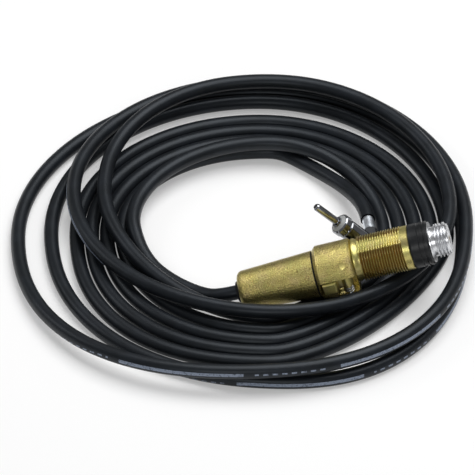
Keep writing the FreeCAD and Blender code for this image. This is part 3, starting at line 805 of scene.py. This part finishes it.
@dataclass
class CordRoute:
    """The lead's route: corner points where it isn't coiled, and stations for each turn of the coil.

    All are given in metres, in the route's own coordinates: x to the right as the photograph's camera
    sees it, y away from that camera and z up from the floor, with the origin amid the coil. The lead's corners run
    from the head to the coil, and the tail's from the coil to the plug.
    """

    head: HeadFrame
    rear_point_on_route: Point = (0.0, -0.0408, 0.0076)
    exit_back: float = 1.2 * MM
    shell_drop: float = 3.0 * MM
    first_run: float = 9.0 * MM
    first_layer: float = 3.12 * MM
    second_layer: float = 9.75 * MM
    steps: int = 7
    ellipse: float = 2.0
    after_exit: tuple[Point, ...] = (
        (-0.0165, -0.0402, 0.0032), (-0.0235, -0.0359, 0.0032), (-0.0300, -0.0304, 0.0032),
        (-0.0363, -0.0235, 0.0036), (-0.0410, -0.0152, 0.0050), (-0.0437, -0.0066, 0.0067),
    )
    tail: tuple[Point, ...] = (
        (0.0170, 0.0529, 0.00315), (0.0250, 0.0468, 0.0033), (0.0342, 0.0386, 0.0037),
        (0.0445, 0.0261, 0.0060), (0.05249, 0.00888, 0.0101), (0.05362, -0.00005, 0.0101),
    )

    def turns(self) -> tuple[tuple[Point, ...], ...]:
        """The coil's stations, from the first turn wound to the last.

        Returns:
            The left, back, right and front station of each turn. The last turn ends at its back.
        """
        low, high = self.first_layer, self.second_layer
        return (
            ((-0.0452, 0.0020, 0.0078), (0.0120, 0.0502, 0.0106), (0.0604, -0.0020, low),
             (0.0125, -0.0578, 0.0049)),
            ((-0.0575, 0.0180, 0.0112), (0.0120, 0.0840, 0.0166), (0.0886, 0.0045, 0.0136),
             (0.0150, -0.0610, 0.0108)),
            ((-0.0705, 0.0180, 0.0106), (0.0100, 0.0912, high), (0.0953, -0.0020, high),
             (-0.0020, -0.0990, 0.0104)),
            ((-0.0937, -0.0020, low), (0.0080, 0.0935, low), (0.0940, -0.0020, low), (0.0200, -0.0970, low)),
            ((-0.0798, 0.0000, low), (0.0080, 0.0868, low), (0.0873, -0.0020, low), (0.0125, -0.0847, low)),
            ((-0.0690, 0.0000, low), (0.0080, 0.0733, low), (0.0806, -0.0020, low), (0.0125, -0.0780, low)),
            ((-0.0626, 0.0000, low), (0.0080, 0.0668, low), (0.0739, -0.0020, low), (0.0125, -0.0711, low)),
            ((-0.0562, 0.0000, low), (0.0080, 0.0601, low), (0.0672, -0.0020, low), (0.0125, -0.0641, low)),
            ((-0.0498, 0.0000, low), (0.0080, 0.0533, low)),
        )

    def fullness(self) -> dict[int, float]:
        """How square the quarters of the coil are that aren't plain ellipses.

        Returns:
            The power that each one's shape follows, by its number along the coil, where the first quarter is 0.
        """
        outer = {4: 2.25, 10: 2.38, 11: 2.20, 12: 1.95, 13: 2.05, 14: 2.23, 15: 2.18}
        inner = {2: 1.44, 3: 1.84, 18: 1.56, 19: 2.33, 22: 1.53, 23: 2.25, 26: 1.51, 27: 2.16, 30: 1.48, 31: 2.04}
        return outer | inner

    def quarter(self, here: np.ndarray, there: np.ndarray, leaves_sideways: bool, fullness: float) -> np.ndarray:
        """Points of a quarter turn: a quarter of a superellipse whose axes lie along x and y, with a smooth climb.

        With a running from 0 to a quarter turn and n the fullness, the way gone along one axis is sin(a) ** (2 / n)
        of its span, and the way left along the other is cos(a) ** (2 / n) of its own.

        Args:
            here: The station that the quarter starts at.
            there: The station that it ends at.
            leaves_sideways: Whether it starts at a left or right station.
            fullness: The power that its shape follows: 2 is an ellipse, and more is squarer.

        Returns:
            The quarter's points, without its last.
        """
        angle = np.linspace(0.0, math.pi / 2, self.steps, endpoint=False)
        cosine, sine = np.cos(angle), np.sin(angle)
        left, gone = cosine ** (2 / fullness), sine ** (2 / fullness)
        span = there - here
        x = there[0] - span[0] * left if leaves_sideways else here[0] + span[0] * gone
        y = here[1] + span[1] * gone if leaves_sideways else there[1] - span[1] * left
        return np.stack([x, y, here[2] * cosine ** 2 + there[2] * sine ** 2], axis=-1)

    def origin(self) -> np.ndarray:
        """The row frame's origin in the route's own coordinates."""
        return np.array(self.rear_point_on_route) - self.head.rear_point

    def exit_point(self) -> np.ndarray:
        """Where the lead leaves the head's grommet, in the row frame."""
        return self.head.place(np.array([[-self.exit_back, -self.shell_drop, 0.0]]))[0]

    def control_points(self) -> np.ndarray:
        """All control points of the lead, from the head to the plug.

        Returns:
            The points in the row frame.
        """
        exit_point = self.exit_point() + self.origin()
        bend = exit_point - self.head.axes[0] * self.first_run
        stations = [np.array(point) for turn in self.turns() for point in turn]
        fullness = self.fullness()
        quarters = [self.quarter(here, there, number % 2 == 0, fullness.get(number, self.ellipse))
                    for number, (here, there) in enumerate(zip(stations, stations[1:]))]
        points = [np.stack([exit_point, bend]), np.array(self.after_exit), *quarters, stations[-1][None, :],
                  np.array(self.tail)]
        return np.concatenate(points) - self.origin()


@dataclass
class CoaxialLead:
    """The whole lead as one smooth cable, from the head through the coil to the plug.

    The print's turns say how far round the cable its marked line lies, as a share of the way round, at some
    places along it in metres. In between, the line runs evenly from one to the next.
    """

    route: CordRoute
    finish: Material
    diameter: float = 6.15 * MM
    length: float = 4.09
    sides: int = 28
    ring_step: float = 2.4 * MM
    order: int = 3
    resolution: int = 12
    print_turns: tuple[tuple[float, float], ...] = (
        (0.0, 0.50), (0.80, 0.50), (0.86, 0.77), (1.36, 0.77), (1.42, 0.50),
        (1.56, 0.50), (1.62, 0.77), (1.90, 0.77), (1.96, 0.50), (4.1, 0.50),
    )
    plug_nodes: tuple[str, ...] = ("plug_pin", "plug_insulator", "plug_collar", "plug_barrel", "plug_housing",
                                   "plug_ferrule")

    def centre_line(self) -> np.ndarray:
        """The smooth curve that the control points pull.

        Returns:
            Points along it, an even step apart.
        """
        control = self.route.control_points()
        curve = bpy.data.curves.new("lead_line", "CURVE")
        curve.dimensions = "3D"
        spline = curve.splines.new("NURBS")
        spline.points.add(len(control) - 1)
        spline.points.foreach_set("co", np.column_stack([control, np.ones(len(control))]).ravel())
        spline.order_u = self.order
        spline.use_endpoint_u = True
        spline.resolution_u = self.resolution
        line = put_in_scene("lead_line", curve)
        mesh = bpy.data.meshes.new_from_object(line)
        raw = np.empty(len(mesh.vertices) * 3, dtype=np.float32)
        mesh.vertices.foreach_get("co", raw)
        bpy.data.objects.remove(line)
        bpy.data.meshes.remove(mesh)
        return self.even(raw.reshape(-1, 3).astype(float))

    def even(self, points: np.ndarray) -> np.ndarray:
        """The same line with its points an even step apart.

        Args:
            points: The line's points.

        Returns:
            New points on it.
        """
        way = way_along(points)
        steps = np.linspace(0.0, way[-1], int(way[-1] / self.ring_step) + 1)
        return np.stack([np.interp(steps, way, points[:, axis]) for axis in range(3)], axis=-1)

    def rings(self, line: np.ndarray) -> tuple[np.ndarray, np.ndarray]:
        """A round tube on the line.

        Each ring's point at angle a is the line's point plus cos(a) times the radius upwards and sin(a) times it
        sideways, where sideways is level, and both are square to the line.

        Args:
            line: Points of the centre line.

        Returns:
            The tube's points, ring by ring, and the map positions, with one more of them to each ring.
        """
        ahead = np.gradient(line, axis=0)
        ahead /= np.linalg.norm(ahead, axis=1, keepdims=True)
        side = np.cross(ahead, np.array([0.0, 0.0, 1.0]))
        side /= np.linalg.norm(side, axis=1, keepdims=True)
        up = np.cross(side, ahead)
        way = way_along(line)
        stops = np.array(self.print_turns)
        lean = np.interp(way, stops[:, 0], stops[:, 1]) * FULL_TURN
        share = np.linspace(0.0, 1.0, self.sides + 1)
        angle = FULL_TURN * (share[None, :] - 0.5) + lean[:, None]
        spokes = np.cos(angle)[..., None] * up[:, None, :] + np.sin(angle)[..., None] * side[:, None, :]
        points = line[:, None, :] + spokes * self.diameter / 2
        uv = np.stack(np.broadcast_arrays(way[:, None], share[None, :]), axis=-1)
        return points[:, :-1], uv

    def build(self) -> Piece:
        """Build the cable, from the head to the plug.

        Returns:
            The finished piece.
        """
        line = self.centre_line()
        points, uv = self.rings(line)
        rows, columns = points.shape[:2]
        corners = np.stack([uv[:-1, :-1], uv[:-1, 1:], uv[1:, 1:], uv[1:, :-1]], axis=2)
        piece = mesh_piece("coaxial_lead", points.reshape(-1, 3), grid_faces(rows, columns), self.finish,
                           Shading.SMOOTH, corners.reshape(-1, 2))
        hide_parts("lead", "coil", "tail")
        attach(piece, BODY)
        self.route.exit_point()
        return piece


@dataclass(frozen=True)
class Lamp:
    """A square soft lamp aimed at the object: its place and side in metres, and its power in watts."""

    name: str
    place: Point
    side: float
    power: float

    def hang(self) -> None:
        """Hang the lamp in the scene."""
        data = bpy.data.lights.new(self.name, "AREA")
        data.size = self.side
        data.energy = self.power
        lamp = put_in_scene(self.name, data)
        lamp.location = self.place
        lamp.rotation_mode = "QUATERNION"
        lamp.rotation_quaternion = (-Vector(self.place)).to_track_quat("-Z", "Y")


@dataclass
class Studio:
    """Pale floor, soft lamps and the photograph's camera."""

    route: CordRoute
    elevation: float = math.radians(40.0)
    distance: float = 6.0
    metres_per_pixel: float = 0.42 * MM
    frame_pixels: int = 475
    centre_pixel: tuple[float, float] = (240.0, 238.0)
    sensor: float = 36.0
    near: float = 0.5
    far: float = 40.0
    floor_half: float = 3.0
    floor_below: float = 0.02 * MM
    floor_colour: Colour = rgb(0.93, 0.93, 0.93)
    floor_glow: float = 0.30
    white: Colour = rgb(1.0, 1.0, 1.0)
    surroundings: float = 0.20
    lamps: tuple[Lamp, ...] = (
        Lamp("key", (0.22, 0.26, 1.00), 0.95, 11.6),
        Lamp("fill", (-0.95, 0.30, 0.65), 0.45, 1.6),
        Lamp("front", (-0.15, -1.05, 0.62), 0.28, 2.0),
    )

    def camera(self) -> None:
        """Camera at the photograph's angle, aimed so that the coil's middle falls on its pixel."""
        data = bpy.data.cameras.new("camera")
        data.sensor_width = self.sensor
        data.lens = self.sensor * self.distance / (self.metres_per_pixel * self.frame_pixels)
        data.clip_start, data.clip_end = self.near, self.far
        camera = put_in_scene("camera", data)
        back = np.array([0.0, -math.cos(self.elevation), math.sin(self.elevation)])
        up = np.array([0.0, math.sin(self.elevation), math.cos(self.elevation)])
        middle = self.frame_pixels / 2
        right_step = (middle - self.centre_pixel[0]) * self.metres_per_pixel
        up_step = (self.centre_pixel[1] - middle) * self.metres_per_pixel
        spot = -self.route.origin() + back * self.distance + np.array([right_step, 0.0, 0.0]) + up * up_step
        camera.location = spot
        camera.rotation_mode = "QUATERNION"
        camera.rotation_quaternion = Vector(-back).to_track_quat("-Z", "Y")
        bpy.context.scene.camera = camera

    def floor(self) -> None:
        """White floor: a matt one that glows a little where the camera or a reflection sees it."""
        corners = np.array([(-1.0, -1.0, 0.0), (1.0, -1.0, 0.0), (1.0, 1.0, 0.0), (-1.0, 1.0, 0.0)])
        corners = corners * self.floor_half - np.array([0.0, 0.0, self.floor_below])
        sheet = NodeSheet("floor_white")
        matt = sheet.add("ShaderNodeBsdfDiffuse")
        matt.inputs["Color"].default_value = self.floor_colour
        glow = sheet.add("ShaderNodeEmission")
        glow.inputs["Color"].default_value = self.white
        rays = sheet.add("ShaderNodeLightPath")
        seen = sheet.math("MAXIMUM", rays.outputs["Is Camera Ray"], rays.outputs["Is Glossy Ray"])
        mix = sheet.add("ShaderNodeMixShader")
        for source, target in zip((sheet.scaled(seen, self.floor_glow), matt.outputs[0], glow.outputs[0]),
                                  mix.inputs):
            sheet.join(source, target)
        sheet.join(mix.outputs[0], sheet.output.inputs[0])
        floor = mesh_piece("floor", corners, np.array([[0, 1, 2, 3]]), sheet.material, Shading.SMOOTH)

    def light(self) -> None:
        """White surroundings and three soft lamps."""
        world = bpy.data.worlds.new("surroundings")
        world.use_nodes = True
        background = world.node_tree.nodes["Background"]
        background.inputs["Color"].default_value = self.white
        background.inputs["Strength"].default_value = self.surroundings
        bpy.context.scene.world = world
        for lamp in self.lamps:
            lamp.hang()

    def build(self) -> None:
        """Make the camera, floor and lamps, and set plain colour handling."""
        bpy.context.scene.view_settings.view_transform = "Standard"
        self.camera()
        self.floor()
        self.light()


@dataclass
class Dressing:
    """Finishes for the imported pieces."""

    finishes: dict[str, Material]
    given: dict[str, str]

    def apply(self) -> None:
        """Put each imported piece's finish in its material slots."""
        for node, finish in self.given.items():
            for place in frame["nodes"][node].material_slots:
                place.material = self.finishes[finish]
            LOG.info("dressed %s in %s", node, finish)


def make_finishes() -> dict[str, Material]:
    """Build each finish once.

    Returns:
        The finished materials by their names.
    """
    makers = (
        YellowPassivated("zinc_cast", Grain.CAST),
        YellowPassivated("zinc_turned", Grain.TURNED),
        YellowPassivated("zinc_threaded", Grain.TURNED, roots=True),
        BareMetal("mirror_plate", rgb(0.86, 0.87, 0.89), 0.08, Grain.POLISHED),
        # The plug's plating, its colour darkened: painted shade, standing in for the dark surroundings that it
        # reflects.
        BareMetal("plate_painted_shade", rgb(0.34, 0.35, 0.37), 0.12, Grain.POLISHED),
        BareMetal("bare_aluminium", rgb(0.80, 0.81, 0.83), 0.30, Grain.TURNED),
        BareMetal("satin_plate", rgb(0.86, 0.91, 0.97), 0.36, Grain.TURNED),
        BareMetal("brass", rgb(0.78, 0.58, 0.26), 0.30, Grain.TURNED),
        BareMetal("spring_steel", rgb(0.52, 0.53, 0.55), 0.32, Grain.TURNED),
        Moulded("black_plastic", rgb(0.007, 0.008, 0.009), rgb(0.03, 0.03, 0.034), 0.36, specular=0.3),
        Moulded("black_rubber", rgb(0.006, 0.006, 0.007), rgb(0.02, 0.02, 0.02), 0.62, specular=0.25),
        Moulded("grey_plastic", rgb(0.30, 0.31, 0.31), rgb(0.42, 0.42, 0.41), 0.42),
        Moulded("white_plastic", rgb(0.78, 0.77, 0.72), rgb(0.60, 0.58, 0.52), 0.42),
        CableJacket(),
    )
    return {maker.name: maker.material() for maker in makers}


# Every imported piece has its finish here, and so do the ones that a finished piece replaces.
GIVEN = {
    "rear_shell": "zinc_cast", "clamp_body": "zinc_cast", "gripping_claw": "zinc_turned",
    "threaded_sleeve": "zinc_turned", "shell_gasket": "black_rubber", "cable_grommet": "black_rubber",
    "cable_clamp_bush": "white_plastic", "cable_stub": "black_rubber", "braid_ferrule": "brass",
    "cable_dielectric": "white_plastic", "centre_conductor": "brass", "claw_pin": "zinc_turned",
    "claw_spring": "spring_steel", "earth_screw": "mirror_plate", "insulator": "black_plastic",
    "contact_washer": "bare_aluminium", "nose_stud": "bare_aluminium", "lock_washer": "spring_steel",
    "stud_nut": "brass", "dielectric_liner": "white_plastic", "centre_rod": "brass", "solder_cup": "brass",
    "retaining_ring": "spring_steel", "contact_plunger": "brass", "contact_spring": "spring_steel",
    # The plug's plated parts wear the plate darkened with painted shade.
    "plug_pin": "plate_painted_shade", "plug_insulator": "grey_plastic", "plug_collar": "plate_painted_shade",
    "plug_barrel": "plate_painted_shade", "plug_housing": "plate_painted_shade", "plug_ferrule": "satin_plate",
    "lead": "cable_jacket", "coil": "cable_jacket", "tail": "cable_jacket",
}


def main() -> None:
    """Build the scene: finishes, camera, floor and lamps, then the finished pieces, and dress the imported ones."""
    logging.basicConfig(level=logging.INFO, format="%(message)s")
    head = HeadFrame.from_record(frame["record"])
    route = CordRoute(head)
    finishes = make_finishes()
    Studio(route).build()
    makers = (CoaxialLead(route, finishes["cable_jacket"]), SleevePiece(head, finishes["zinc_threaded"]),
              NosePiece(head, finishes["bare_aluminium"]), ContactSpring(head, finishes["spring_steel"]))
    for maker in makers:
        LOG.info("built %s", maker.build().name)
    Dressing(finishes, GIVEN).apply()


if __name__ == "__main__":
    main()
